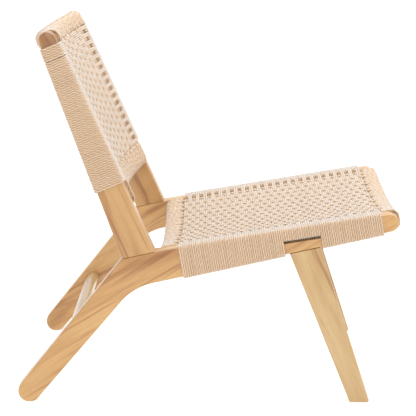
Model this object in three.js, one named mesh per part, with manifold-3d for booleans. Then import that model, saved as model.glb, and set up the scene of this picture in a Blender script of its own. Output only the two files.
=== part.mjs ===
import * as THREE from 'three';
import { mergeVertices } from 'three/addons/utils/BufferGeometryUtils.js';
import Module from 'manifold-3d';

const wasm = await Module();
wasm.setup();

// A low armless lounge chair: a wooden frame with a seat and a back woven from paper cord.
// Millimetres and degrees. X is the width, the front of the seat points along -Y, Z is up,
// and the chair stands on Z = 0 with its origin under the middle of its footprint.

// Overall
const width = 600;            // over the two side frames
const depth = 760;            // nose of the seat rails to the back of the rear feet
const seatHeight = 386.5;     // top of the rail noses
const timber = 40;            // thickness of side frames, posts and front legs
const edgeRound = 3;          // rounding along the edges of those timbers
const clearance = 0.3;        // between pieces that touch

// Side frame: seat rail and rear leg cut from one board
const noseRadius = 18;
const footRadius = 22.5;
const footFlat = 0.55;        // depth of the flat worn on the round rear foot
const seatTilt = 9.44;        // top of the rail, falling to the rear
const undersideTilt = 12.6;   // underside of the rail
const heelRun = 468.5;        // along the rail top, nose to the front of the back post
const heelWidth = 66;         // of the post, along the joint
const heelTilt = 12.3;        // of the joint under the post
const bendRun = 524;          // along the underside, nose to the bend into the rear leg
const bendRadius = 115;       // inside the bend

// Back post
const postLength = 460;       // joint to the centre of the round top
const postLean = 22.3;        // from the vertical
const postTopRadius = 16.4;

// Front leg
const legRun = 206;           // along the underside, nose to the rear edge of the leg
const legTopWidth = 62;       // along the underside of the rail
const legFootWidth = 40;
const legFootInset = 51;      // nose of the rail back to the front of the foot
const legFootRound = 4;

const jointAllowance = 12;    // timber sawn off where a post or leg meets the side frame

// Slot through the rail above the leg, which the cord turns pass through
const slotAhead = 8;          // longer than the top of the leg, at its front end
const slotBehind = 10;
const slotHeight = 9;
const slotCover = 17;         // timber above the slot

// Crossbars, bowed away from the sitter
const barWidth = 27;          // in the plane of the seat or back
const barThickness = 32;
const barRound = 12;
const seatBow = 17;           // depth of the bow at the middle of the chair
const backBow = 31;
const frontBarRun = -4.5;     // along the rail top, nose to the axis of the front bar
const rearBarToPost = 24;     // along the rail top, axis of the rear bar to the front of the post
const bottomBarRun = 117.5;   // along the front of the post, joint to the axis of the bottom bar
const topBarToEnd = 3.6;      // along the front of the post, axis of the top bar to the round end
const tenonDiameter = 17;
const tenonLength = 22;
const tenonOverlap = 4;       // tenon left inside the bar

// Stretcher between the rear legs
const stretcherHeight = 124;
const stretcherWidth = 40;    // along the leg
const stretcherThickness = 25;

// Dowels
const dowelDiameter = 10;
const postDowelLength = 60;
const postDowelSpacing = 32;
const legDowelLength = 44;
const legDowelInRail = 13;
const legDowelSpacing = 30;
const dowelEndGap = 1;

// Paper cord
const cord = 4.6;
const postWrapAhead = 30;     // along the post, axis of the bottom bar to the first turn
const wrapGap = 1.5;          // between neighbouring runs of turns
const rearWrapGap = 5;        // bare rail between its last turn and the wrap of the rear bar

// Fineness of the round shapes
const RAD = Math.PI / 180;
const outlineStep = 9 * RAD;
const outlineChord = 6;
const sectionStep = 22.5 * RAD;
const bowSteps = 10;
const pegSides = 24;
const stretcherSides = 32;
const edgeSteps = 2;
const weldDistance = 1e-4;

const railX = (width - timber) / 2;
const innerSpan = width - 2 * timber;

// ---------- plane geometry in the side view: x is Y, y is Z ----------

const at = (y, z) => new THREE.Vector2(y, z);
const heading = (angle) => at(Math.cos(angle), Math.sin(angle));
const along = (from, direction, distance) => from.clone().addScaledVector(direction, distance);
const leftOf = (direction) => at(-direction.y, direction.x);

// The angle, at or past the first, that a counterclockwise turn from it to the second ends at.
const turnedTo = (from, to) => from + THREE.MathUtils.euclideanModulo(to - from, 2 * Math.PI);

// Points along an arc, close enough for both its angle and its length.
function arc(centre, radius, from, to, step = outlineStep) {
  const turn = Math.abs(to - from);
  const steps = Math.max(2, Math.round(turn / step), Math.round(turn * radius / outlineChord));
  const points = [];
  for (let i = 0; i <= steps; i++) {
    points.push(along(centre, heading(from + (to - from) * i / steps), radius));
  }
  return points;
}

// Angle at the circle's centre of the tangent point seen from outside it.
// side is 1 for the tangent to the left of the line of sight, -1 for the right.
function tangentAngle(from, centre, radius, side) {
  const sight = centre.clone().sub(from);
  return sight.angle() + Math.PI + side * -Math.acos(radius / sight.length());
}

function roundedCorner(before, corner, after, radius) {
  const back = before.clone().sub(corner).normalize();
  const on = after.clone().sub(corner).normalize();
  const half = Math.acos(THREE.MathUtils.clamp(back.dot(on), -1, 1)) / 2;
  const middle = back.clone().add(on).normalize();
  const centre = along(corner, middle, radius / Math.sin(half));
  const start = along(corner, back, radius / Math.tan(half)).sub(centre).angle();
  const turn = Math.sign(back.cross(on)) * (Math.PI - 2 * half);
  return arc(centre, radius, start, start - turn);
}

function crossing(a, directionA, b, directionB) {
  const t = b.clone().sub(a).cross(directionB) / directionA.cross(directionB);
  return along(a, directionA, t);
}

// ---------- solids ----------

function toSolid(geometry) {
  const bare = geometry.clone();
  bare.deleteAttribute('normal');
  bare.deleteAttribute('uv');
  const merged = mergeVertices(bare, weldDistance);
  return new wasm.Manifold(new wasm.Mesh({
    numProp: 3,
    vertProperties: new Float32Array(merged.attributes.position.array),
    triVerts: new Uint32Array(merged.index.array),
  }));
}

function toGeometry(solid) {
  const mesh = solid.getMesh();
  const geometry = new THREE.BufferGeometry();
  geometry.setAttribute('position', new THREE.BufferAttribute(mesh.vertProperties, 3));
  geometry.setIndex(new THREE.BufferAttribute(mesh.triVerts, 1));
  geometry.computeVertexNormals();
  return geometry;
}

function cut(geometry, ...cutters) {
  return toGeometry(cutters.reduce((solid, cutter) => solid.subtract(toSolid(cutter)), toSolid(geometry)));
}

function join(geometry, ...others) {
  return toGeometry(others.reduce((solid, other) => solid.add(toSolid(other)), toSolid(geometry)));
}

// A side-view outline made into a board, centred on X = 0.
function board(outline, thickness, round) {
  const geometry = new THREE.ExtrudeGeometry(new THREE.Shape(outline), {
    depth: thickness - 2 * round,
    bevelEnabled: round > 0,
    bevelThickness: round,
    bevelSize: round,
    bevelOffset: -round,
    bevelSegments: edgeSteps,
    steps: 1,
  });
  geometry.translate(0, 0, round - thickness / 2);
  const sideView = new THREE.Matrix4().makeBasis(
    new THREE.Vector3(0, 1, 0), new THREE.Vector3(0, 0, 1), new THREE.Vector3(1, 0, 0));
  return geometry.applyMatrix4(sideView);
}

// A peg along X through a side-view point, from X = near to X = far.
function peg(centre, diameter, near, far) {
  const geometry = new THREE.CylinderGeometry(diameter / 2, diameter / 2, Math.abs(far - near), pegSides);
  geometry.rotateZ(Math.PI / 2);
  return geometry.translate((near + far) / 2, centre.x, centre.y);
}

// Sections of equal point count joined along X; each is a list of [y, z] with its x.
function loft(sections) {
  const count = sections[0].points.length;
  const positions = [];
  const index = [];
  for (const { x, points } of sections) {
    for (const point of points) positions.push(x, point.x, point.y);
  }
  for (let s = 0; s < sections.length - 1; s++) {
    for (let i = 0; i < count; i++) {
      const a = s * count + i;
      const b = s * count + (i + 1) % count;
      index.push(a, b, a + count, b, b + count, a + count);
    }
  }
  const last = (sections.length - 1) * count;
  for (const [a, b, c] of THREE.ShapeUtils.triangulateShape(sections[0].points, [])) {
    index.push(a, c, b);
    index.push(last + a, last + b, last + c);
  }
  const geometry = new THREE.BufferGeometry();
  geometry.setAttribute('position', new THREE.Float32BufferAttribute(positions, 3));
  geometry.setIndex(index);
  return geometry;
}

// ---------- the side frame and its neighbours, in the side view ----------

const nose = at(noseRadius - depth / 2, seatHeight - noseRadius);
const railDown = heading(-seatTilt * RAD);
const railUp = leftOf(railDown);
const undersideDown = heading(-undersideTilt * RAD);
const railTop = along(nose, railUp, noseRadius);
const underside = along(nose, leftOf(undersideDown), -noseRadius);
const heelFront = along(railTop, railDown, heelRun);
const heelDown = heading(-heelTilt * RAD);
const heelBack = along(heelFront, heelDown, heelWidth);
const bend = along(underside, undersideDown, bendRun);
const foot = at(depth / 2 - footRadius, footRadius - footFlat);
const innerTangent = tangentAngle(bend, foot, footRadius, -1);
const outerTangent = tangentAngle(heelBack, foot, footRadius, 1);
const innerFoot = along(foot, heading(innerTangent), footRadius);
const outerFoot = along(foot, heading(outerTangent), footRadius);

const heelMiddle = along(heelFront, heelDown, heelWidth / 2);
const postUp = heading((90 - postLean) * RAD);
const postTop = along(heelMiddle, postUp, postLength);
const frontTangent = tangentAngle(heelFront, postTop, postTopRadius, 1);
const backTangent = tangentAngle(heelBack, postTop, postTopRadius, -1);
const postFrontTop = along(postTop, heading(frontTangent), postTopRadius);
const postBackTop = along(postTop, heading(backTangent), postTopRadius);
const postFrontUp = postFrontTop.clone().sub(heelFront).normalize();
const postBackUp = postBackTop.clone().sub(heelBack).normalize();

const slotRun = legRun - legTopWidth - slotAhead;
const slotLength = slotAhead + legTopWidth + slotBehind;

const legBack = along(underside, undersideDown, legRun);
const legFront = along(legBack, undersideDown, -legTopWidth);
const legFootFront = at(legFootInset - depth / 2, 0);
const legFootBack = at(legFootFront.x + legFootWidth, 0);

// The seat and the back: each is a plane with two bars; y runs along it, z points to the sitter.
// The bars lie below the plane by the inset, and bow away from it.
const barDrop = barThickness / 2;
const seatPlane = {
  origin: railTop,
  direction: railDown,
  firstBar: frontBarRun,
  spacing: heelRun - rearBarToPost - frontBarRun,
  inset: cord,
  bow: seatBow,
};
const backPlane = {
  origin: heelFront,
  direction: postFrontUp,
  firstBar: bottomBarRun,
  spacing: heelFront.distanceTo(postFrontTop) - topBarToEnd - bottomBarRun,
  inset: 0,
  bow: backBow,
};

function onPlane({ origin, direction }, run, height) {
  return along(along(origin, direction, run), leftOf(direction), height);
}

const firstAxis = (plane) => onPlane(plane, plane.firstBar, -plane.inset - barDrop);
const secondAxis = (plane) => along(firstAxis(plane), plane.direction, plane.spacing);
const frontBar = firstAxis(seatPlane);
const rearBar = secondAxis(seatPlane);
const bottomBar = firstAxis(backPlane);
const topBar = secondAxis(backPlane);

const innerEdgeAt = (z) => THREE.MathUtils.mapLinear(z, bend.y, innerFoot.y, bend.x, innerFoot.x);
const outerEdgeAt = (z) => THREE.MathUtils.mapLinear(z, heelBack.y, outerFoot.y, heelBack.x, outerFoot.x);
const stretcher = at((innerEdgeAt(stretcherHeight) + outerEdgeAt(stretcherHeight)) / 2, stretcherHeight);
const legSlope = at(outerFoot.x + innerFoot.x - heelBack.x - bend.x, outerFoot.y + innerFoot.y - heelBack.y - bend.y)
  .angle();

// ---------- dowels ----------

// Dowels cross a joint; its line runs from one end of the row in the direction given.
function dowelRow(middle, direction, spacing, length, below) {
  const up = leftOf(direction);
  return [-0.5, 0.5].map((share) => ({ joint: along(middle, direction, share * spacing), up, length, below }));
}

const postDowels = dowelRow(heelMiddle, heelDown, postDowelSpacing, postDowelLength, postDowelLength / 2);
const legMiddle = along(legBack, undersideDown, -legTopWidth / 2);
const legDowels = dowelRow(legMiddle, undersideDown, legDowelSpacing, legDowelLength,
  legDowelLength - legDowelInRail);

function dowelHole({ joint, up, length, below }) {
  const size = dowelDiameter + 2 * clearance;
  const geometry = new THREE.CylinderGeometry(size / 2, size / 2, length + 2 * dowelEndGap, pegSides);
  geometry.rotateX(up.angle());
  const middle = along(joint, up, length / 2 - below);
  return geometry.translate(0, middle.x, middle.y);
}

// ---------- wooden pieces ----------

const holeDiameter = tenonDiameter + 2 * clearance;

// A blind hole in the inner face of a board; side is -1 on the -X side of the chair.
function tenonHole(centre, side) {
  const inner = -side * timber / 2;
  return peg(centre, holeDiameter, inner - side * timber, inner + side * (tenonLength + dowelEndGap));
}

function slotCutter() {
  const radius = slotHeight / 2;
  const middle = -slotCover - radius;
  const rear = onPlane(seatPlane, slotRun + slotLength - radius, middle);
  const front = onPlane(seatPlane, slotRun + radius, middle);
  const turn = Math.PI / 2;
  const base = railDown.angle();
  return board([
    ...arc(rear, radius, base - turn, base + turn),
    ...arc(front, radius, base + turn, base + 3 * turn),
  ], 2 * timber, 0);
}

function floorCutter() {
  const block = new THREE.BoxGeometry(2 * timber, 2 * depth, depth);
  return block.translate(0, 0, -depth / 2);
}

function sideFrame(side) {
  const outline = [
    underside,
    ...roundedCorner(underside, bend, innerFoot, bendRadius),
    ...arc(foot, footRadius, innerTangent, turnedTo(innerTangent, outerTangent)),
    heelBack,
    heelFront,
    ...arc(nose, noseRadius, railUp.angle(), turnedTo(railUp.angle(), leftOf(undersideDown).angle() + Math.PI)),
  ].slice(1);
  return cut(board(outline, timber, edgeRound),
    floorCutter(),
    slotCutter(),
    ...postDowels.map(dowelHole),
    ...legDowels.map(dowelHole),
    ...[frontBar, rearBar, stretcher].map((centre) => tenonHole(centre, side)));
}

// A block that takes away everything on the far side of a joint, seen along the joint's direction.
function jointCutter(point, direction, keepLeft) {
  const normal = leftOf(direction).multiplyScalar(keepLeft ? 1 : -1);
  const edge = along(point, normal, clearance);
  const corners = [
    along(edge, direction, -depth),
    along(edge, direction, depth),
    along(along(edge, direction, depth), normal, -depth),
    along(along(edge, direction, -depth), normal, -depth),
  ];
  return board(corners, 2 * timber, 0);
}

function backPost(side) {
  const outline = [
    along(heelFront, postFrontUp, -jointAllowance),
    along(heelBack, postBackUp, -jointAllowance),
    ...arc(postTop, postTopRadius, backTangent, turnedTo(backTangent, frontTangent)),
  ];
  return cut(board(outline, timber, edgeRound),
    jointCutter(heelFront, heelDown, true),
    ...postDowels.map(dowelHole),
    ...[bottomBar, topBar].map((centre) => tenonHole(centre, side)));
}

function frontLeg() {
  const backUp = legBack.clone().sub(legFootBack).normalize();
  const frontUp = legFront.clone().sub(legFootFront).normalize();
  const outline = [
    along(legFront, frontUp, jointAllowance),
    ...roundedCorner(legFront, legFootFront, legFootBack, legFootRound),
    ...roundedCorner(legFootFront, legFootBack, legBack, legFootRound),
    along(legBack, backUp, jointAllowance),
  ];
  return cut(board(outline, timber, edgeRound),
    jointCutter(underside, undersideDown, false),
    ...legDowels.map(dowelHole));
}

// Section of a crossbar grown by an allowance, about its own axis, y across and z through it.
function barSection(grown) {
  const y = barWidth / 2 - barRound;
  const z = barThickness / 2 - barRound;
  const radius = barRound + grown;
  const turn = Math.PI / 2;
  return [
    ...arc(at(y, z), radius, 0, turn, sectionStep),
    ...arc(at(-y, z), radius, turn, 2 * turn, sectionStep),
    ...arc(at(-y, -z), radius, 2 * turn, 3 * turn, sectionStep),
    ...arc(at(y, -z), radius, 3 * turn, 4 * turn, sectionStep),
  ];
}

// How far a bowed bar, or what is woven over it, is from straight.
const bowAt = (bow, x) => bow * (1 - (2 * x / innerSpan) ** 2);

function bowedLoft(section, bow, halfLength) {
  const sections = [];
  for (let i = 0; i <= bowSteps; i++) {
    const x = halfLength * (2 * i / bowSteps - 1);
    sections.push({ x, points: section.map((point) => at(point.x, point.y - bowAt(bow, x))) });
  }
  return loft(sections);
}

function crossbar(bow) {
  const shoulder = innerSpan / 2 - clearance;
  const end = innerSpan / 2 + tenonLength;
  const tenons = [-1, 1].map((side) => peg(at(0, 0), tenonDiameter, side * (shoulder - tenonOverlap), side * end));
  return join(bowedLoft(barSection(0), bow, shoulder), ...tenons);
}

function rearStretcher() {
  const shoulder = innerSpan / 2 - clearance;
  const end = innerSpan / 2 + tenonLength;
  const oval = new THREE.EllipseCurve(0, 0, stretcherWidth / 2, stretcherThickness / 2, 0, 2 * Math.PI);
  const section = oval.getPoints(stretcherSides).slice(0, -1);
  const body = loft([{ x: -shoulder, points: section }, { x: shoulder, points: section }]);
  return join(body, peg(at(0, 0), tenonDiameter, -end, end));
}

// ---------- cord, as plain solids of its outer shape ----------

// Turns of cord around a board. The board lies between two edges, each a point and a direction;
// the turns are square to an axis, from one place along it to another.
function boardWrap({ origin, axis, edges }, start, end) {
  const across = leftOf(axis);
  const corners = (growth, extra) => {
    const ends = [start - extra, end + extra].map((run) => along(origin, axis, run));
    const [near, far] = edges.map(({ point, direction }, i) => {
      const moved = along(point, across, i === 0 ? growth : -growth);
      return ends.map((place) => crossing(place, across, moved, direction));
    });
    return [...far, ...near.reverse()];
  };
  const skin = cord + clearance;
  const outer = board(corners(skin, 0), timber + 2 * skin, edgeRound);
  const hollow = board(corners(clearance, skin), timber + 2 * clearance, 0);
  return cut(outer, hollow);
}

const railEdge = { point: railTop, direction: railDown };
const railWhole = {
  origin: railTop, axis: railDown, edges: [railEdge, { point: underside, direction: undersideDown }],
};
const railAboveSlot = {
  origin: railTop,
  axis: railDown,
  edges: [railEdge, { point: onPlane(seatPlane, 0, -slotCover), direction: railDown }],
};
const postWhole = {
  origin: heelMiddle,
  axis: postUp,
  edges: [{ point: heelFront, direction: postFrontUp }, { point: heelBack, direction: postBackUp }],
};

// The turns on the rails and posts stop where the wraps of the crossbars begin.
const wrapReach = barWidth / 2 + cord + 2 * clearance;
const railWrapStart = seatPlane.firstBar + wrapReach;
const railWrapEnd = seatPlane.firstBar + seatPlane.spacing - wrapReach - rearWrapGap;
// In the slot they fill its straight part.
const slotStart = slotRun + slotHeight / 2;
const slotEnd = slotRun + slotLength - slotHeight / 2;
const postWrapStart = bottomBarRun + postWrapAhead;
const postWrapTop = onPlane(backPlane, backPlane.firstBar + backPlane.spacing - wrapReach - wrapGap, 0);
const postWrapEnd = postWrapTop.sub(heelMiddle).dot(postUp);

const wrapEnd = innerSpan / 2 - clearance;

function barWrap(bow) {
  const outer = bowedLoft(barSection(cord + clearance), bow, wrapEnd);
  const hollow = bowedLoft(barSection(clearance), bow, wrapEnd + cord);
  return cut(outer, hollow);
}

// The woven sheet between the two bars of a plane, two cords thick and dished with them.
function wovenSheet({ firstBar, spacing, inset, bow }) {
  const middle = (cord - inset) / 2;
  const corners = [
    at(firstBar, middle - cord),
    at(firstBar + spacing, middle - cord),
    at(firstBar + spacing, middle + cord),
    at(firstBar, middle + cord),
  ];
  const sheet = bowedLoft(corners, bow, innerSpan / 2 - cord - 2 * clearance);
  const wraps = [0, spacing].map((run) => {
    const wrap = bowedLoft(barSection(cord + 2 * clearance), bow, innerSpan / 2);
    return wrap.translate(0, firstBar + run, -inset - barDrop);
  });
  return cut(sheet, ...wraps);
}

// ---------- assembly ----------

const group = new THREE.Group();
const wood = { color: 0xd9b07c, roughness: 0.5, metalness: 0 };
const dowelWood = { color: 0xcfa873, roughness: 0.6, metalness: 0 };
const paper = { color: 0xdcc4a2, roughness: 0.85, metalness: 0 };

function add(parent, name, geometry, finish) {
  const mesh = new THREE.Mesh(geometry, new THREE.MeshStandardMaterial(finish));
  mesh.name = name;
  parent.add(mesh);
  return mesh;
}

function addDowels(parent, names, dowels) {
  dowels.forEach(({ joint, up, length, below }, i) => {
    const geometry = new THREE.CylinderGeometry(dowelDiameter / 2, dowelDiameter / 2, length, pegSides);
    const mesh = add(parent, names[i], geometry, dowelWood);
    const middle = along(joint, up, length / 2 - below);
    mesh.position.set(0, middle.x, middle.y);
    mesh.rotation.x = up.angle();
  });
}

for (const [name, side] of [['right', -1], ['left', 1]]) {
  const half = new THREE.Group();
  half.position.x = side * railX;
  add(half, `side_frame_${name}`, sideFrame(side), wood);
  add(half, `back_post_${name}`, backPost(side), wood);
  add(half, `front_leg_${name}`, frontLeg(), wood);
  addDowels(half, [`post_dowel_${name}_front`, `post_dowel_${name}_rear`], postDowels);
  addDowels(half, [`leg_dowel_${name}_front`, `leg_dowel_${name}_rear`], legDowels);
  add(half, `rail_wrap_${name}_front`, boardWrap(railWhole, railWrapStart, slotStart - wrapGap), paper);
  add(half, `rail_wrap_${name}_slot`, boardWrap(railAboveSlot, slotStart, slotEnd), paper);
  add(half, `rail_wrap_${name}_rear`, boardWrap(railWhole, slotEnd + wrapGap, railWrapEnd), paper);
  add(half, `post_wrap_${name}`, boardWrap(postWhole, postWrapStart, postWrapEnd), paper);
  group.add(half);
}

function addPlane(plane, name, barNames) {
  const part = new THREE.Group();
  part.position.set(0, plane.origin.x, plane.origin.y);
  part.rotation.x = plane.direction.angle();
  barNames.forEach((barName, i) => {
    const bar = add(part, `${barName}_bar`, crossbar(plane.bow), wood);
    const wrap = add(part, `${barName}_bar_wrap`, barWrap(plane.bow), paper);
    for (const mesh of [bar, wrap]) {
      mesh.position.set(0, plane.firstBar + i * plane.spacing, -plane.inset - barDrop);
    }
  });
  add(part, `${name}_weave`, wovenSheet(plane), paper);
  group.add(part);
}

addPlane(seatPlane, 'seat', ['seat_front', 'seat_rear']);
addPlane(backPlane, 'back', ['back_bottom', 'back_top']);

const brace = add(group, 'rear_stretcher', rearStretcher(), wood);
brace.position.set(0, stretcher.x, stretcher.y);
brace.rotation.x = legSlope;

export default group;
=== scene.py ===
import math

import bpy
import numpy as np
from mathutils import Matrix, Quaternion, Vector


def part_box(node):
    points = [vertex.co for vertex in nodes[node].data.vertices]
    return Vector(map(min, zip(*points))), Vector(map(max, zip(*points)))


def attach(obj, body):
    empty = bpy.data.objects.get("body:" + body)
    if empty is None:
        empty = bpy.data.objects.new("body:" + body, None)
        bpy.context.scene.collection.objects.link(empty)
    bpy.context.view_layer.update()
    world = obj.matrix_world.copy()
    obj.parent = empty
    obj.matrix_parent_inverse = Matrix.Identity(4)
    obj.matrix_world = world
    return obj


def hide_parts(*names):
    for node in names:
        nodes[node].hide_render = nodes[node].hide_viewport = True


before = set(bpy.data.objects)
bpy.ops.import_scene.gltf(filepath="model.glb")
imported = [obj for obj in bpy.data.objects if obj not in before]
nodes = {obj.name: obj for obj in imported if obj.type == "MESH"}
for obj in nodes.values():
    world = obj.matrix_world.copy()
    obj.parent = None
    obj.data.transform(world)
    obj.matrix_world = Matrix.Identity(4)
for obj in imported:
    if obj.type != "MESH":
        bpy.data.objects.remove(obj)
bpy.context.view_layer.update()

# A low armless lounge chair: wood from the CAD nodes, paper cord made here turn by turn.
# Metres. X is the width, -Y the front, Z up.

SIDES = {"right": -1, "left": 1}

ALONG_X = (1, 0, 0)
ALONG_RUN = (0, 1, 0)
END_TOLERANCE = 1e-5       # vertices this near a solid's end belong to it
MIDDLE_TOLERANCE = 1e-4    # and this near the chair's middle to the section there

# Paper cord
CORD_SIDES = 6
STRANDS = 3.0              # strands that the cord is twisted from
LAY = 92                   # strands passed in a metre along it
CORD_FILL = 1.06           # diameter of a cord over the pitch of its turns
CORNER = 0.0052            # corner radius of a turn round a board, at the cord's centre
BAR_CORNER = 0.0060        # the same where a turn leaves a bar towards the weave
LARGEST_CORNER = 0.95      # most that a corner may take of half a turn's height
BAR_ROUNDING = 0.86        # a bar's other corners, as a share of half its depth
CORNER_STEPS = 4
THREE_CORNERS = 3 * (CORNER_STEPS + 1)
WANDER = 0.0002            # how far a turn strays from its place
BAR_WANDER = 0.6           # share of it for a bar's turns
PAIR = (0.25, 0.75)        # places of a pair's two cords, as shares of the pairs' pitch
SEAT_WAVE = 0.0016         # a cord's rise and fall through the weave
BACK_WAVE = 0.0011
WAVE_STEPS = 4
TUCK = 0.021               # how deep a cord starts that comes from under a rail
TUCK_SLOPE = 1.15          # how steeply it rises, against reaching the weave at its first pair
WEFT_INSET = 0.7           # radii from a rail to the end of a cord's woven part
WEAVE_MARGIN = 1.3         # radii from the weave to the inner side of a bar's turns
TURN_PITCH = 0.00442
WARPS = 15                 # pairs of cords from bar to bar
WIDE_SLIT = 0.0042         # opening in a bar's turns beside a pair that crosses it
NARROW_SLIT = 0.0010
REAR_SLIT = 0.00336        # the same on the seat's rear bar
ASIDE_START = 0.4          # where a turn starts to bend from a slit, as a share of half the bar's depth
ASIDE_END = 0.6            # where it has done so, as a share of its reach to the weave
BAR_END_GAP = 0.0004
END_DROP = 1.6             # radii by which a bar's end turns lie lower
TOP_BAR_GAP = 0.0008       # from the back's last pair to the top bar's wrap
LOOSE_TURNS = 4            # turns of the weave that stand above a gap at the top of a post
LOOSE_GAP = 0.0013
SPARE_TURNS = 2            # turns above the weave's last pair
SWELL = 0.0018             # how far a bar's turns stand out past the CAD wrap

# Wood
SHARP_EDGE = 50            # degrees
WELD = 1e-5
GRAIN_SHIFT = (0.37, 0.61, 0.23)   # moves the figure on from one wood to the next

# Sockets of a colour mix
MIX_SHARE, MIX_FIRST, MIX_SECOND, MIX_RESULT = 0, 6, 7, 2

FLOOR_HALF = 40            # half the floor's side

rng = np.random.default_rng(11)


# ---------- the camera ----------

def add_camera():
    azimuth, elevation, roll = (math.radians(angle) for angle in (270.475, 10.677, 0.05))
    level = math.cos(elevation)
    away = Vector((math.sin(azimuth) * level, -math.cos(azimuth) * level, math.sin(elevation)))
    camera = bpy.data.objects.new("camera", bpy.data.cameras.new("camera"))
    camera.data.sensor_width = 36
    camera.data.lens = 146.25
    camera.location = (-3.5774, -0.0299, 1.0165)
    camera.rotation_mode = "QUATERNION"
    camera.rotation_quaternion = away.to_track_quat("Z", "Y") @ Quaternion((0, 0, 1), roll)
    bpy.context.scene.collection.objects.link(camera)
    bpy.context.scene.camera = camera


# ---------- reading the frame ----------

def vertices(name):
    points = np.zeros(len(nodes[name].data.vertices) * 3)
    nodes[name].data.vertices.foreach_get("co", points)
    return points.reshape(-1, 3)


def bar_axis(name):
    """Y and Z of a crossbar's axis: the middle of its round tenon."""
    points = vertices(name)
    end = points[points[:, 0] > points[:, 0].max() - END_TOLERANCE]
    return (end[:, 1:].max(0) + end[:, 1:].min(0)) / 2


class Plane:
    """The plane of the seat or back: run goes from its first bar to its second, height to the sitter."""

    def __init__(self, first_bar, second_bar, wave):
        self.wave = wave
        self.bars = (first_bar, second_bar)
        self.origin = bar_axis(first_bar)
        step = bar_axis(second_bar) - self.origin
        self.spacing = float(np.linalg.norm(step))
        self.direction = step / self.spacing
        self.up = np.array([-self.direction[1], self.direction[0]])
        wrap = self.flat(vertices(first_bar + "_wrap"))
        self.half_span = wrap[:, 0].max()
        self.unit = 2 * self.half_span / (WARPS + 1)    # spacing of the pairs from bar to bar
        self.warps = [(j + 1) * self.unit - self.half_span for j in range(WARPS)]
        ends = wrap[wrap[:, 0] > self.half_span - END_TOLERANCE]
        middle = wrap[abs(wrap[:, 0]) < MIDDLE_TOLERANCE]
        self.wrap_half = (ends[:, 1:].max(0) - ends[:, 1:].min(0)) / 2
        self.end_shift = (ends[:, 2].max() + ends[:, 2].min()) / 2
        self.bow = -(middle[:, 2].max() + middle[:, 2].min()) / 2

    def flat(self, points):
        """World points as x, run, height."""
        offset = points[:, 1:] - self.origin
        return np.stack([points[:, 0], offset @ self.direction, offset @ self.up], 1)

    def world(self, points):
        points = np.asarray(points, float)
        side_view = self.origin + points[..., 1:2] * self.direction + points[..., 2:3] * self.up
        return np.concatenate([points[..., :1], side_view], -1)

    def dip(self, x):
        """How far the bowed bars lie below their ends' line."""
        return -self.bow * (1 - (x / self.half_span) ** 2)

    def corners(self, name):
        """Start and end of a run of turns, each as its top and bottom corner in run and height."""
        points = self.flat(vertices(name))[:, 1:]

        def furthest(run, height):
            return points[np.argmax(points @ np.array([run, height]))]

        return (furthest(-1, 1), furthest(-1, -1)), (furthest(1, 1), furthest(1, -1))


seat = Plane("seat_front_bar", "seat_rear_bar", SEAT_WAVE)
back = Plane("back_bottom_bar", "back_top_bar", BACK_WAVE)


# ---------- cords as meshes ----------

def distances(path, closed):
    """Distance along a path at each of its points. A closed one comes out as a whole number of strands."""
    steps = np.linalg.norm(np.diff(path, axis=0, append=path[:1]), axis=1)
    length = np.concatenate([[0], np.cumsum(steps)])
    if closed:
        length *= round(length[-1] * LAY) / (length[-1] * LAY)
    return length


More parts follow.
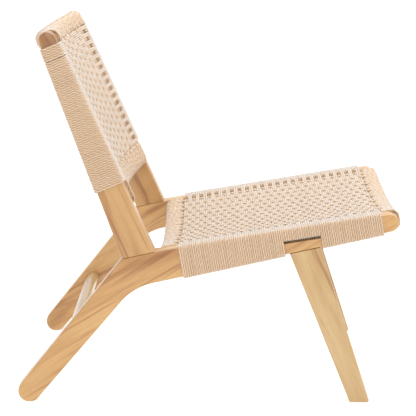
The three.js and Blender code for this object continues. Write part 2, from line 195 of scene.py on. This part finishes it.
class Cords:
    """Many lengths of cord that become one mesh."""

    def __init__(self, plane, radius):
        self.plane = plane
        self.radius = radius
        self.points, self.faces, self.maps, self.tones, self.count = [], [], [], [], 0

    def skin(self, path, reference, closed):
        """A ring of points round each point of the path."""
        if closed:
            tangent = np.roll(path, -1, 0) - np.roll(path, 1, 0)
        else:
            tangent = np.gradient(path, axis=0)
        tangent /= np.linalg.norm(tangent, axis=1, keepdims=True)
        first = np.cross(tangent, reference)
        first /= np.linalg.norm(first, axis=1, keepdims=True)
        second = np.cross(first, tangent)
        angles = (np.arange(CORD_SIDES) + 0.5) * 2 * math.pi / CORD_SIDES
        cosine, sine = np.cos(angles)[None, :, None], np.sin(angles)[None, :, None]
        ring = cosine * first[:, None] + sine * second[:, None]
        return (path[:, None] + self.radius * ring).reshape(-1, 3)

    def add_faces(self, faces, places, tone):
        self.faces.append(faces)
        self.maps.append(places)
        self.tones.append(np.full(len(faces), tone))

    def add_caps(self, rings, start, tone):
        """Both ends of an open cord, each as two quads across its hexagon."""
        for base, order in ((self.count, 1), (self.count + (rings - 1) * CORD_SIDES, -1)):
            for quad in ((0, 1, 2, 3), (0, 3, 4, 5)):
                self.add_faces(base + np.array([quad[::order]]), np.full((1, 4, 2), start), tone)

    def add(self, path, reference, closed=False):
        """A cord along a path of x, run, height. The reference is a direction that no part of it takes."""
        path = np.asarray(path, float)
        rings = len(path)
        self.points.append(self.plane.world(self.skin(path, reference, closed)))
        length = distances(path, closed)
        start = rng.random()
        tone = rng.random()
        steps = np.arange(rings if closed else rings - 1)
        this_ring = self.count + steps * CORD_SIDES
        next_ring = self.count + (steps + 1) % rings * CORD_SIDES
        low, high = length[steps] + start, length[steps + 1] + start
        for side in range(CORD_SIDES):
            after = (side + 1) % CORD_SIDES
            quads = np.stack([this_ring + side, next_ring + side, next_ring + after, this_ring + after], 1)
            near = np.full(len(steps), side / CORD_SIDES)
            far = np.full(len(steps), (side + 1) / CORD_SIDES)
            corners = (low, near), (high, near), (high, far), (low, far)
            self.add_faces(quads, np.stack([np.stack(corner, 1) for corner in corners], 1), tone)
        if not closed:
            self.add_caps(rings, start, tone)
        self.count += rings * CORD_SIDES

    def build(self, name, material, replaced):
        points = np.concatenate(self.points)
        faces = np.concatenate(self.faces)
        mesh = bpy.data.meshes.new(name)
        mesh.vertices.add(len(points))
        mesh.vertices.foreach_set("co", points.ravel())
        mesh.loops.add(faces.size)
        mesh.loops.foreach_set("vertex_index", faces.ravel().astype(np.int32))
        mesh.polygons.add(len(faces))
        mesh.polygons.foreach_set("loop_start", np.arange(0, faces.size, 4, dtype=np.int32))
        mesh.update(calc_edges=True)
        mesh.validate()
        mesh.polygons.foreach_set("use_smooth", np.ones(len(mesh.polygons), bool))
        layer = mesh.uv_layers.new(name="cord")
        layer.data.foreach_set("uv", np.concatenate(self.maps).reshape(-1).astype(np.float32))
        tone = mesh.attributes.new("tone", "FLOAT", "FACE")
        tone.data.foreach_set("value", np.concatenate(self.tones).astype(np.float32))
        mesh.materials.append(material)
        piece = bpy.data.objects.new(name, mesh)
        bpy.context.scene.collection.objects.link(piece)
        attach(piece, "root")
        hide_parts(*replaced)


def round_loop(low, high, radii):
    """A closed rounded rectangle. Its corners in order: high, (high, low), low, (low, high)."""
    corners = (high[0], high[1]), (high[0], low[1]), (low[0], low[1]), (low[0], high[1])
    turns = (1, 1), (1, -1), (-1, -1), (-1, 1)
    points = []
    for quarter, (corner, turn, radius) in enumerate(zip(corners, turns, radii)):
        centre = np.array(corner) - radius * np.array(turn)
        for i in range(CORNER_STEPS + 1):
            angle = math.pi / 2 * (1 - quarter - i / CORNER_STEPS)
            points.append(centre + radius * np.array([math.cos(angle), math.sin(angle)]))
    return np.array(points)


def stray():
    return (rng.random() - 0.5) * 2 * WANDER


class Board:
    """Turns of cord round a rail or post on one side of the chair."""

    def __init__(self, plane, side, wraps, radius, loose_from):
        self.side, self.radius, self.loose_from = side, radius, loose_from
        low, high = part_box(wraps[0])
        self.x = (low.x + high.x) / 2
        self.half = (high.x - low.x) / 2 - radius
        self.wraps = [plane.corners(name) for name in wraps]

    def at(self, run):
        """Top and bottom of the turn whose top is at this run."""
        def outside(wrap):
            (start, _), (end, _) = wrap
            return max(start[0] - run, run - end[0])

        (top0, low0), (top1, low1) = min(self.wraps, key=outside)
        share = (run - top0[0]) / (top1[0] - top0[0])
        top = top0 + (top1 - top0) * share
        low = low0 + (low1 - low0) * share
        along = (low - top) / np.linalg.norm(low - top)
        return top + along * self.radius, low - along * self.radius

    def turn(self, run):
        """A whole turn, from the outer corner of its top."""
        if run > self.loose_from:
            run += LOOSE_GAP
        top, low = self.at(run)
        reach = np.linalg.norm(low - top) / 2
        middle, along = (top + low) / 2, (top - low) / np.linalg.norm(top - low)
        corner = min(CORNER, reach * LARGEST_CORNER)
        loop = round_loop((-self.half, -reach), (self.half, reach), [corner] * 4)
        lean = stray()
        points = []
        for out, rise in loop:
            place = middle + along * rise
            points.append((self.x + self.side * out, place[0] + lean * rise / reach, place[1]))
        return np.array(points)


# ---------- the weave ----------

def smooth(t):
    t = np.clip(t, 0, 1)
    return t * t * (3 - 2 * t)


class Panel:
    """The seat's or back's cord, from its first turn to its last. Wraps are each side's nodes of turns."""

    def __init__(self, plane, name, wraps, last, loose_turns, spare_turns, material):
        self.plane, self.name, self.wraps, self.last, self.material = plane, name, wraps, last, material
        self.spare_turns = spare_turns
        self.first, top = plane.corners(wraps["right"][0])[0][0]
        self.columns = round((last - self.first) / (2 * TURN_PITCH))
        self.pitch = (last - self.first) / self.columns
        self.radius = self.pitch / 4 * CORD_FILL
        self.level = top - self.radius - plane.wave
        loose_from = last - loose_turns * self.pitch / 2 if loose_turns else math.inf
        self.boards = [
            Board(plane, sign, wraps[side], self.radius, loose_from) for side, sign in SIDES.items()]
        margin = self.radius * WEAVE_MARGIN
        self.inner = self.first - margin, plane.spacing - last - margin

    def build(self):
        self.side_to_side()
        self.bar_to_bar()
        self.side_turns()
        for second, bar in enumerate(self.plane.bars):
            self.bar_turns(bool(second), bar)

    def weft_height(self, x, over):
        """Rise of a cord from side to side: over every second pair that it meets, and under the others."""
        plane = self.plane
        reach = plane.half_span - abs(x)
        wave = -plane.wave * np.cos(math.pi * reach / plane.unit)
        if over:
            return np.where(reach < plane.unit, plane.wave, wave)
        outside = -plane.wave - (TUCK - plane.wave) * (1 - smooth(reach / plane.unit * TUCK_SLOPE))
        return np.where(reach < plane.unit, outside, -wave)

    def side_to_side(self):
        plane = self.plane
        weft = Cords(plane, self.radius)
        inside = plane.half_span - self.radius * WEFT_INSET
        x = np.linspace(-inside, inside, (WARPS + 1) * WAVE_STEPS + 1)
        for column in range(self.columns):
            over = column % 2 == 0
            for strand in PAIR:
                run = self.first + (column + strand) * self.pitch
                height = self.level + plane.dip(x) + self.weft_height(x, over)
                line = np.stack([x, np.full_like(x, run + stray()), height], 1)
                if over:
                    right, left = (board.turn(run)[:THREE_CORNERS] for board in self.boards)
                    line = np.concatenate([right[::-1], line, left])
                weft.add(line, ALONG_RUN)
        weft.build(self.name + "_weft", self.material, [self.name + "_weave"])

    def bar_loop(self, x, second, radius, shift=0.0, swell=SWELL):
        """A turn round a crossbar, from the outer corner of its top. Its inner side can stand aside."""
        plane = self.plane
        inner = self.inner[second]
        outer, rise = plane.wrap_half - radius
        corner = outer * BAR_ROUNDING
        radii = corner, corner, corner, BAR_CORNER
        loop = round_loop((-inner, -rise), (outer + swell, rise + swell), radii)
        run = plane.spacing if second else 0
        facing = 1 if second else -1
        middle = plane.end_shift + plane.dip(x)
        start, length = outer * ASIDE_START, outer * ASIDE_START + inner * ASIDE_END
        aside = shift * smooth((start - loop[:, 0]) / length)
        return np.stack([x + aside, run + facing * loop[:, 0], middle + loop[:, 1]], 1)

    def bar_to_bar(self):
        plane = self.plane
        warp = Cords(plane, self.radius)
        step = self.pitch / WAVE_STEPS
        run = np.arange(self.first + step, self.last - step / 2, step)
        phase = math.pi * (run - self.first - self.pitch / 2) / self.pitch
        for j, middle in enumerate(plane.warps):
            sign = -1 if j % 2 == 0 else 1
            wave = sign * plane.wave * np.cos(phase)
            for place in (middle - self.radius, middle + self.radius):
                line = np.stack([np.full_like(run, place), run, self.level + plane.dip(place) + wave], 1)
                ends = []
                for second in (False, True):
                    loop = self.bar_loop(place, second, self.radius)
                    landing = (loop[-1] + loop[0]) / 2
                    ends.append(np.concatenate([landing[None], loop[:THREE_CORNERS]]))
                warp.add(np.concatenate([ends[0][::-1], line, ends[1]]), ALONG_X)
        warp.build(self.name + "_warp", self.material, [self.name + "_weave"])

    def side_turns(self):
        """The turns round the rails or posts between the pairs that cross over them."""
        turns_in_weave = 2 * self.columns
        for board, side in zip(self.boards, SIDES):
            turns = Cords(self.plane, self.radius)
            for i in range(turns_in_weave + self.spare_turns):
                if i // 2 % 2 == 1 or i >= turns_in_weave:
                    turns.add(board.turn(self.first + (i + 0.5) * self.pitch / 2), ALONG_RUN, closed=True)
            turns.build(f"{self.name}_turns_{side}", self.material, self.wraps[side])

    def bar_turns(self, second, name):
        """The turns round a crossbar between the pairs that cross over it."""
        radius = TURN_PITCH / 2 * CORD_FILL
        bar = Cords(self.plane, radius)
        end = self.plane.half_span - BAR_END_GAP
        starts = [-end] + [place + 2 * radius for place in self.plane.warps]
        stops = [place - 2 * radius for place in self.plane.warps] + [end]
        slits = [0] + [slit_beside(name, j) for j in range(WARPS)] + [0]
        for k, (start, stop) in enumerate(zip(starts, stops)):
            count = max(1, round((stop - start) / TURN_PITCH))
            for i in range(count):
                share = (i + 0.5) / count
                shift = slits[k] * max(0, 1 - 2 * share) - slits[k + 1] * max(0, 2 * share - 1)
                x = start + share * (stop - start) + stray() * BAR_WANDER
                bar.add(self.bar_loop(x, second, radius, shift), ALONG_X, closed=True)
        for x in (-end + radius, end - radius):
            bar.add(self.bar_loop(x, second, radius, 0, SWELL - END_DROP * radius), ALONG_X, closed=True)
        bar.build(name + "_turns", self.material, [name + "_wrap"])


def slit_beside(name, j):
    if name == "seat_rear_bar":
        return REAR_SLIT
    return WIDE_SLIT if j % 2 == 1 else NARROW_SLIT


# ---------- materials ----------

def new_material(name):
    material = bpy.data.materials.new(name)
    material.use_nodes = True
    tree = material.node_tree
    return material, tree, tree.nodes["Principled BSDF"]


def node(tree, kind, **settings):
    made = tree.nodes.new(kind)
    for key, value in settings.items():
        if key in made.inputs:
            made.inputs[key].default_value = value
        else:
            setattr(made, key, value)
    return made


def ramp(tree, source, stops):
    made = tree.nodes.new("ShaderNodeValToRGB")
    while len(made.color_ramp.elements) < len(stops):
        made.color_ramp.elements.new(0.5)
    for element, (place, colour) in zip(made.color_ramp.elements, stops):
        element.position = place
        element.color = (*colour, 1)
    tree.links.new(source, made.inputs["Fac"])
    return made.outputs["Color"]


def mixed(tree, kind, share, first, second):
    made = tree.nodes.new("ShaderNodeMix")
    made.data_type = "RGBA"
    made.blend_type = kind
    for place, value in ((MIX_SHARE, share), (MIX_FIRST, first), (MIX_SECOND, second)):
        if isinstance(value, bpy.types.NodeSocket):
            tree.links.new(value, made.inputs[place])
        else:
            made.inputs[place].default_value = value
    return made.outputs[MIX_RESULT]


def wood(name, turned, dark, mid, pale, seed):
    """Satin hardwood. Turned is the rotation that brings its grain onto Y."""
    material, tree, surface = new_material(name)
    place = node(tree, "ShaderNodeTexCoord").outputs["Object"]
    grain = node(tree, "ShaderNodeMapping")
    grain.inputs["Rotation"].default_value = turned
    grain.inputs["Location"].default_value = [seed * shift for shift in GRAIN_SHIFT]
    tree.links.new(place, grain.inputs["Vector"])

    def stretched(across, along):
        made = node(tree, "ShaderNodeMapping")
        made.inputs["Scale"].default_value = (across, along, across)
        tree.links.new(grain.outputs["Vector"], made.inputs["Vector"])
        return made.outputs["Vector"]

    def noise(across, along, detail, roughness, distortion=0.0):
        made = node(tree, "ShaderNodeTexNoise", Scale=1.0, Detail=detail, Roughness=roughness,
                    Distortion=distortion)
        tree.links.new(stretched(across, along), made.inputs["Vector"])
        return made.outputs["Fac"]

    figure = noise(17, 2.2, 3.0, 0.55, 1.2)
    streaks = noise(75, 3.0, 4.0, 0.62, 0.5)
    fibre = noise(420, 14, 4.0, 0.7)
    pores = noise(1100, 45, 2.0, 0.6)
    body = ramp(tree, figure, ((0.30, dark), (0.5, mid), (0.72, pale)))
    lines = ramp(tree, streaks, (
        (0.33, (0.60, 0.43, 0.30)), (0.45, (0.95, 0.91, 0.86)), (0.6, (1, 1, 1))))
    body = mixed(tree, "MULTIPLY", 0.85, body, lines)
    fine = ramp(tree, fibre, ((0.3, (0.86, 0.81, 0.75)), (0.62, (1, 1, 1))))
    body = mixed(tree, "MULTIPLY", 0.6, body, fine)
    dots = ramp(tree, pores, ((0.30, (0.74, 0.64, 0.54)), (0.42, (1, 1, 1))))
    body = mixed(tree, "MULTIPLY", 0.5, body, dots)
    tree.links.new(body, surface.inputs["Base Color"])

    rough = node(tree, "ShaderNodeMapRange")
    rough.inputs["To Min"].default_value = 0.44
    rough.inputs["To Max"].default_value = 0.32
    tree.links.new(fibre, rough.inputs["Value"])
    tree.links.new(rough.outputs["Result"], surface.inputs["Roughness"])
    bump = node(tree, "ShaderNodeBump", Strength=0.1, Distance=0.0005)
    tree.links.new(fibre, bump.inputs["Height"])
    tree.links.new(bump.outputs["Normal"], surface.inputs["Normal"])
    surface.inputs["IOR"].default_value = 1.5
    surface.inputs["Coat Weight"].default_value = 0.5
    surface.inputs["Coat Roughness"].default_value = 0.22
    return material


def paper_cord():
    """Twisted kraft paper: a tone for each length, a lay that spirals round it with painted shade in its
    grooves, and fine fibre.
    """
    material, tree, surface = new_material("paper_cord")
    tone = node(tree, "ShaderNodeAttribute", attribute_name="tone")
    places = node(tree, "ShaderNodeTexCoord")
    cloud = node(tree, "ShaderNodeTexNoise", Scale=95.0, Detail=3.0, Roughness=0.6)
    tree.links.new(places.outputs["Object"], cloud.inputs["Vector"])
    fibre = node(tree, "ShaderNodeTexNoise", Scale=900.0, Detail=2.0, Roughness=0.6)
    tree.links.new(places.outputs["Object"], fibre.inputs["Vector"])

    lay = node(tree, "ShaderNodeMapping")
    lay.inputs["Scale"].default_value = (LAY, 1, 1)
    tree.links.new(places.outputs["UV"], lay.inputs["Vector"])
    split = node(tree, "ShaderNodeSeparateXYZ")
    tree.links.new(lay.outputs["Vector"], split.inputs["Vector"])
    strands = node(tree, "ShaderNodeMath", operation="MULTIPLY_ADD")
    strands.inputs[1].default_value = STRANDS
    tree.links.new(split.outputs["Y"], strands.inputs[0])
    tree.links.new(split.outputs["X"], strands.inputs[2])
    turn = node(tree, "ShaderNodeMath", operation="MULTIPLY")
    turn.inputs[1].default_value = 2 * math.pi
    tree.links.new(strands.outputs[0], turn.inputs[0])
    ridge = node(tree, "ShaderNodeMath", operation="SINE")
    tree.links.new(turn.outputs[0], ridge.inputs[0])
    twist = node(tree, "ShaderNodeMapRange")
    twist.inputs["From Min"].default_value = -1
    tree.links.new(ridge.outputs[0], twist.inputs["Value"])

    body = ramp(tree, tone.outputs["Fac"], (
        (0.0, (0.635, 0.446, 0.280)), (0.5, (0.660, 0.471, 0.302)), (1.0, (0.685, 0.496, 0.325))))
    patches = ramp(tree, cloud.outputs["Fac"], ((0.3, (0.92, 0.88, 0.84)), (0.7, (1, 1, 1))))
    body = mixed(tree, "MULTIPLY", 0.7, body, patches)
    # Painted shade: the grooves between the lay's strands are darkened in the colour, as shade falls
    # there.
    lay_groove_shade = ramp(tree, twist.outputs["Result"], ((0.0, (0.50, 0.36, 0.25)), (0.34, (1, 1, 1))))
    body = mixed(tree, "MULTIPLY", 0.7, body, lay_groove_shade)
    tree.links.new(body, surface.inputs["Base Color"])
    surface.inputs["Roughness"].default_value = 0.55
    surface.inputs["Sheen Weight"].default_value = 0.9
    surface.inputs["Sheen Tint"].default_value = (0.86, 0.93, 1.0, 1)
    surface.inputs["Sheen Roughness"].default_value = 0.4

    bumps = mixed(tree, "MIX", 0.25, twist.outputs["Result"], fibre.outputs["Fac"])
    bump = node(tree, "ShaderNodeBump", Strength=0.7, Distance=0.0008)
    tree.links.new(bumps, bump.inputs["Height"])
    tree.links.new(bump.outputs["Normal"], surface.inputs["Normal"])
    return material


def smooth_shading():
    """A modifier that shades a faceted solid smoothly, but not across its sharp edges."""
    tree = bpy.data.node_groups.new("smooth_shading", "GeometryNodeTree")
    tree.interface.new_socket("Geometry", in_out="INPUT", socket_type="NodeSocketGeometry")
    tree.interface.new_socket("Geometry", in_out="OUTPUT", socket_type="NodeSocketGeometry")
    start = tree.nodes.new("NodeGroupInput")
    finish = tree.nodes.new("NodeGroupOutput")
    weld = tree.nodes.new("GeometryNodeMergeByDistance")
    weld.inputs["Distance"].default_value = WELD
    faces = tree.nodes.new("GeometryNodeSetShadeSmooth")
    faces.domain = "FACE"
    edges = tree.nodes.new("GeometryNodeSetShadeSmooth")
    edges.domain = "EDGE"
    edges.inputs["Shade Smooth"].default_value = False
    angle = tree.nodes.new("GeometryNodeInputMeshEdgeAngle")
    sharp = tree.nodes.new("FunctionNodeCompare")
    sharp.data_type = "FLOAT"
    sharp.operation = "GREATER_THAN"
    sharp.inputs["B"].default_value = math.radians(SHARP_EDGE)
    tree.links.new(start.outputs[0], weld.inputs["Geometry"])
    tree.links.new(weld.outputs["Geometry"], faces.inputs["Geometry"])
    tree.links.new(faces.outputs["Geometry"], edges.inputs["Geometry"])
    tree.links.new(angle.outputs["Unsigned Angle"], sharp.inputs["A"])
    tree.links.new(sharp.outputs["Result"], edges.inputs["Selection"])
    tree.links.new(edges.outputs["Geometry"], finish.inputs[0])
    return tree


# ---------- assembly ----------

def finish_wood():
    tan = (0.42, 0.205, 0.062), (0.56, 0.320, 0.116), (0.62, 0.385, 0.158)
    honey = (0.27, 0.112, 0.030), (0.49, 0.268, 0.094), (0.55, 0.328, 0.130)
    straw = (0.47, 0.295, 0.118), (0.53, 0.350, 0.155), (0.575, 0.400, 0.195)
    post = math.atan2(back.direction[1], back.direction[0])
    finishes = {
        "side_frame_right": wood("board_right", (math.radians(32), 0, 0), *tan, 1),
        "side_frame_left": wood("board_left", (math.radians(30), 0, 0), *tan, 2),
        "back_post_right": wood("post_right", (-post, 0, 0), *honey, 3),
        "back_post_left": wood("post_left", (-post, 0, 0), *honey, 4),
        "front_leg_right": wood("leg_right", (math.radians(-65), 0, 0), *straw, 5),
        "front_leg_left": wood("leg_left", (math.radians(-63), 0, 0), *straw, 6),
    }
    across = wood("crosswise", (0, 0, math.radians(90)), *straw, 7)
    dowels = wood("dowel", (math.radians(-65), 0, 0), *tan, 8)
    shading = smooth_shading()
    for name, piece in nodes.items():
        if "_wrap" in name or name.endswith("weave"):
            continue
        finish = finishes.get(name) or (dowels if "dowel" in name else across)
        piece.data.materials.clear()
        piece.data.materials.append(finish)
        modifier = piece.modifiers.new("smooth_shading", "NODES")
        modifier.node_group = shading


def cord_work():
    material = paper_cord()
    rails = {side: [f"rail_wrap_{side}_{part}" for part in ("front", "slot", "rear")] for side in SIDES}
    posts = {side: [f"post_wrap_{side}"] for side in SIDES}
    _, (last_top, _) = seat.corners(rails["right"][-1])
    back_edge = back.spacing - back.wrap_half[0] - TOP_BAR_GAP
    Panel(seat, "seat", rails, last_top[0], 0, 0, material).build()
    Panel(back, "back", posts, back_edge, LOOSE_TURNS, SPARE_TURNS, material).build()


def add_area(name, place, aim, size, power, colour):
    light = bpy.data.objects.new(name, bpy.data.lights.new(name, "AREA"))
    light.data.shape = "RECTANGLE"
    light.data.size, light.data.size_y = size
    light.data.energy = power
    light.data.color = colour
    light.location = place
    light.rotation_mode = "QUATERNION"
    light.rotation_quaternion = (Vector(aim) - Vector(place)).to_track_quat("-Z", "Y")
    bpy.context.scene.collection.objects.link(light)


def add_studio():
    world = bpy.data.worlds.new("studio")
    world.use_nodes = True
    world.node_tree.nodes["Background"].inputs["Color"].default_value = (1, 1, 1, 1)
    world.node_tree.nodes["Background"].inputs["Strength"].default_value = 1.02
    bpy.context.scene.world = world
    material, _, surface = new_material("floor")
    surface.inputs["Base Color"].default_value = (0.5, 0.5, 0.5, 1)
    surface.inputs["Roughness"].default_value = 1.0
    surface.inputs["Emission Color"].default_value = (1, 1, 1, 1)
    surface.inputs["Emission Strength"].default_value = 0.70
    corners = [(x * FLOOR_HALF, y * FLOOR_HALF, 0) for x, y in ((-1, -1), (1, -1), (1, 1), (-1, 1))]
    mesh = bpy.data.meshes.new("floor")
    mesh.from_pydata(corners, [], [(0, 1, 2, 3)])
    mesh.materials.append(material)
    floor = bpy.data.objects.new("floor", mesh)
    bpy.context.scene.collection.objects.link(floor)
    add_area("top", (0.5, -0.4, 2.6), (0, 0, 0.35), (2.2, 2.2), 58, (0.78, 0.91, 1.0))
    add_area("side", (-3.0, 0.5, 1.8), (0, 0.15, 0.5), (1.6, 1.6), 14, (1.0, 0.95, 0.88))
    add_area("front", (-0.8, -3.0, 1.6), (0, 0, 0.3), (1.4, 1.4), 14, (1.0, 0.985, 0.97))
    bpy.context.scene.view_settings.view_transform = "Standard"


add_camera()
finish_wood()
cord_work()
add_studio()
